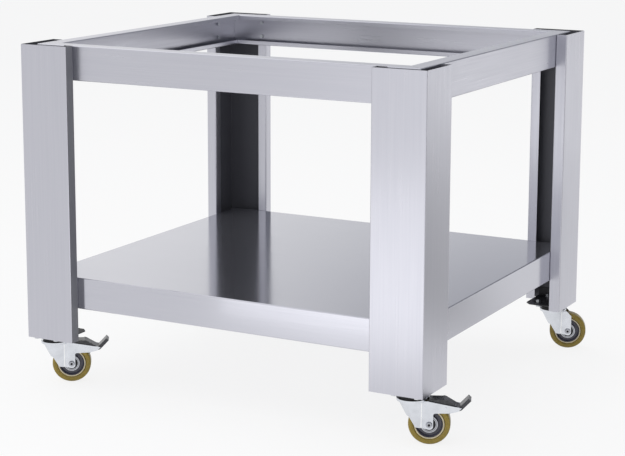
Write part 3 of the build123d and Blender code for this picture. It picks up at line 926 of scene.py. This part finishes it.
@dataclass
class Studio:
    """Pale floor, soft light and the camera of the photograph."""

    floor_half: float = 60.0
    floor_colour: str = "#FFFFFF"
    floor_glow: float = 0.84
    floor_patches: tuple[FloorPatch, ...] = (
        FloorPatch(change=-0.6, across=((0.3, 0.75),), back=((0.1, 0.9), (5.4, 3.2))),
        FloorPatch(change=1.3, across=((-0.4, 0.2), (0.7, 0.35)), back=((2.4, 5.2),)),
        FloorPatch(change=0.42, across=((0.0, 0.7),), back=((-0.9, -1.3), (-2.5, -1.8))),
        FloorPatch(change=-0.45, across=((0.05, 0.25), (0.65, 0.45)), back=((-1.9, -2.4), (-4.2, -3.6))))
    wall_colour: str = "#ECEDF0"
    wall_shades: tuple[WallShade, ...] = (
        WallShade("Z", start=0.175, full=0.265, colour="#AEB0B6"),
        WallShade("X", start=-0.34, full=-0.58, colour="#FFFFFF"),
        WallShade("X", start=-0.1, full=0.5, colour="#8A8C92"))
    wall_strength: float = 1.0
    lamps: tuple[Softbox, ...] = (
        Softbox("front_softbox", place=(0.3, -2.9, 0.8), aim=(0.3, 0.0, 0.6),
                width=2.6, height=2.6, power=4.6),
        Softbox("low_front_softbox", place=(0.15, -1.25, 0.25), aim=(0.15, 0.0, 0.25),
                width=1.2, height=0.46, power=0.6),
        Softbox("overhead_softbox", place=(-0.4, -0.4, 4.2), aim=(-0.4, -0.4, 0.0),
                width=7.0, height=7.0, power=85.0))
    sensor_mm: float = 36.0
    image_width: int = 625
    focal_pixels: float = 1763.14
    axis_above_middle: float = 50.0
    azimuth: float = 28.109
    elevation: float = 10.484
    roll: float = 0.182
    camera_place: Triple = (2.185, -4.0964, 1.3707)

    def floor_material(self) -> Material:
        """Makes the floor's finish. Part of it glows for the camera and in reflections, and the rest takes
        shadow. In reflections it has brighter and dimmer patches, as an unevenly lit floor has.

        Returns:
            The material.
        """
        material = bpy.data.materials.new("pale_floor")
        material.use_nodes = True
        tree = material.node_tree
        tree.nodes.clear()
        path = add_node(tree, "ShaderNodeLightPath")
        seen = path.outputs["Is Camera Ray"]
        for other in ("Is Glossy Ray", "Is Transmission Ray"):
            seen = add_node(tree, "ShaderNodeMath", {
                0: seen, 1: path.outputs[other]}, operation="MAXIMUM").outputs[0]
        share = add_node(tree, "ShaderNodeMath", {0: seen, 1: self.floor_glow}, operation="MULTIPLY")
        uneven: float | Socket = 0.0
        for patch in self.floor_patches:
            uneven = add_node(tree, "ShaderNodeMath", {
                0: patch.share(tree), 1: patch.change, 2: uneven}, operation="MULTIPLY_ADD").outputs[0]
        strength = add_node(tree, "ShaderNodeMath", {
            0: uneven, 1: path.outputs["Is Glossy Ray"], 2: 1.0}, operation="MULTIPLY_ADD")
        matt = add_node(tree, "ShaderNodeBsdfDiffuse", {"Color": linear(self.floor_colour)})
        glow = add_node(tree, "ShaderNodeEmission", {
            "Color": linear(self.floor_colour), "Strength": strength.outputs[0]})
        mixed = add_node(tree, "ShaderNodeMixShader", {
            0: share.outputs[0], 1: matt.outputs[0], 2: glow.outputs[0]})
        add_node(tree, "ShaderNodeOutputMaterial", {"Surface": mixed.outputs[0]})
        return material

    def build_floor(self) -> None:
        """Makes a wide pale floor."""
        mesh = bmesh.new()
        bmesh.ops.create_grid(mesh, x_segments=1, y_segments=1, size=self.floor_half)
        floor = make_object("floor", mesh)
        floor.data.materials.append(self.floor_material())

    def build_world(self) -> None:
        """Makes a soft surround: a pale wall that darkens upwards, bright on the left, dim on the right."""
        world = bpy.data.worlds.new("soft_surround")
        bpy.context.scene.world = world
        world.use_nodes = True
        tree = world.node_tree
        tree.nodes.clear()
        way = add_node(tree, "ShaderNodeTexCoord").outputs["Generated"]
        axes = add_node(tree, "ShaderNodeSeparateXYZ", {0: way})
        colour: tuple[float, ...] | Socket = linear(self.wall_colour)
        for shade in self.wall_shades:
            share = add_node(tree, "ShaderNodeMapRange", {
                "Value": axes.outputs[shade.axis], "From Min": shade.start, "From Max": shade.full},
                interpolation_type="SMOOTHSTEP")
            colour = add_node(tree, "ShaderNodeMix", {
                0: share.outputs["Result"], COLOUR_A: colour, COLOUR_B: linear(shade.colour)},
                data_type="RGBA").outputs[COLOUR_MIX]
        light = add_node(tree, "ShaderNodeBackground", {"Color": colour, "Strength": self.wall_strength})
        add_node(tree, "ShaderNodeOutputWorld", {"Surface": light.outputs[0]})

    def build_camera(self) -> None:
        """Sets the camera where the photograph was taken from."""
        data = bpy.data.cameras.new("camera")
        data.sensor_fit = "HORIZONTAL"
        data.sensor_width = self.sensor_mm
        data.lens = self.focal_pixels / self.image_width * self.sensor_mm
        data.shift_y = -self.axis_above_middle / self.image_width
        around, above, tilt = radians(self.azimuth), radians(self.elevation), radians(self.roll)
        back = Vector((sin(around) * cos(above), -cos(around) * cos(above), sin(above)))
        right = Vector((cos(around), sin(around), 0))
        up = back.cross(right)
        turned_right = cos(tilt) * right + sin(tilt) * up
        turned_up = cos(tilt) * up - sin(tilt) * right
        turn = Matrix((turned_right, turned_up, back)).transposed().to_4x4()
        camera = bpy.data.objects.new("camera", data)
        camera.matrix_world = Matrix.Translation(self.camera_place) @ turn
        bpy.context.scene.collection.objects.link(camera)
        bpy.context.scene.camera = camera

    def build(self) -> None:
        """Sets up the studio."""
        bpy.context.scene.view_settings.view_transform = "Standard"
        self.build_floor()
        self.build_world()
        for lamp in self.lamps:
            lamp.build()
        self.build_camera()


def main() -> None:
    """Builds the stand's looks and the studio."""
    logging.basicConfig(level=logging.INFO, format="%(message)s")
    stand = FoldedStand()
    stand.build()
    finishes = WheelFinishes.build()
    for corner in stand.corners:
        Caster(corner, finishes, braked=f"brake_pedal_{corner}" in frame["nodes"]).build()
    Studio().build()


if __name__ == "__main__":
    main()
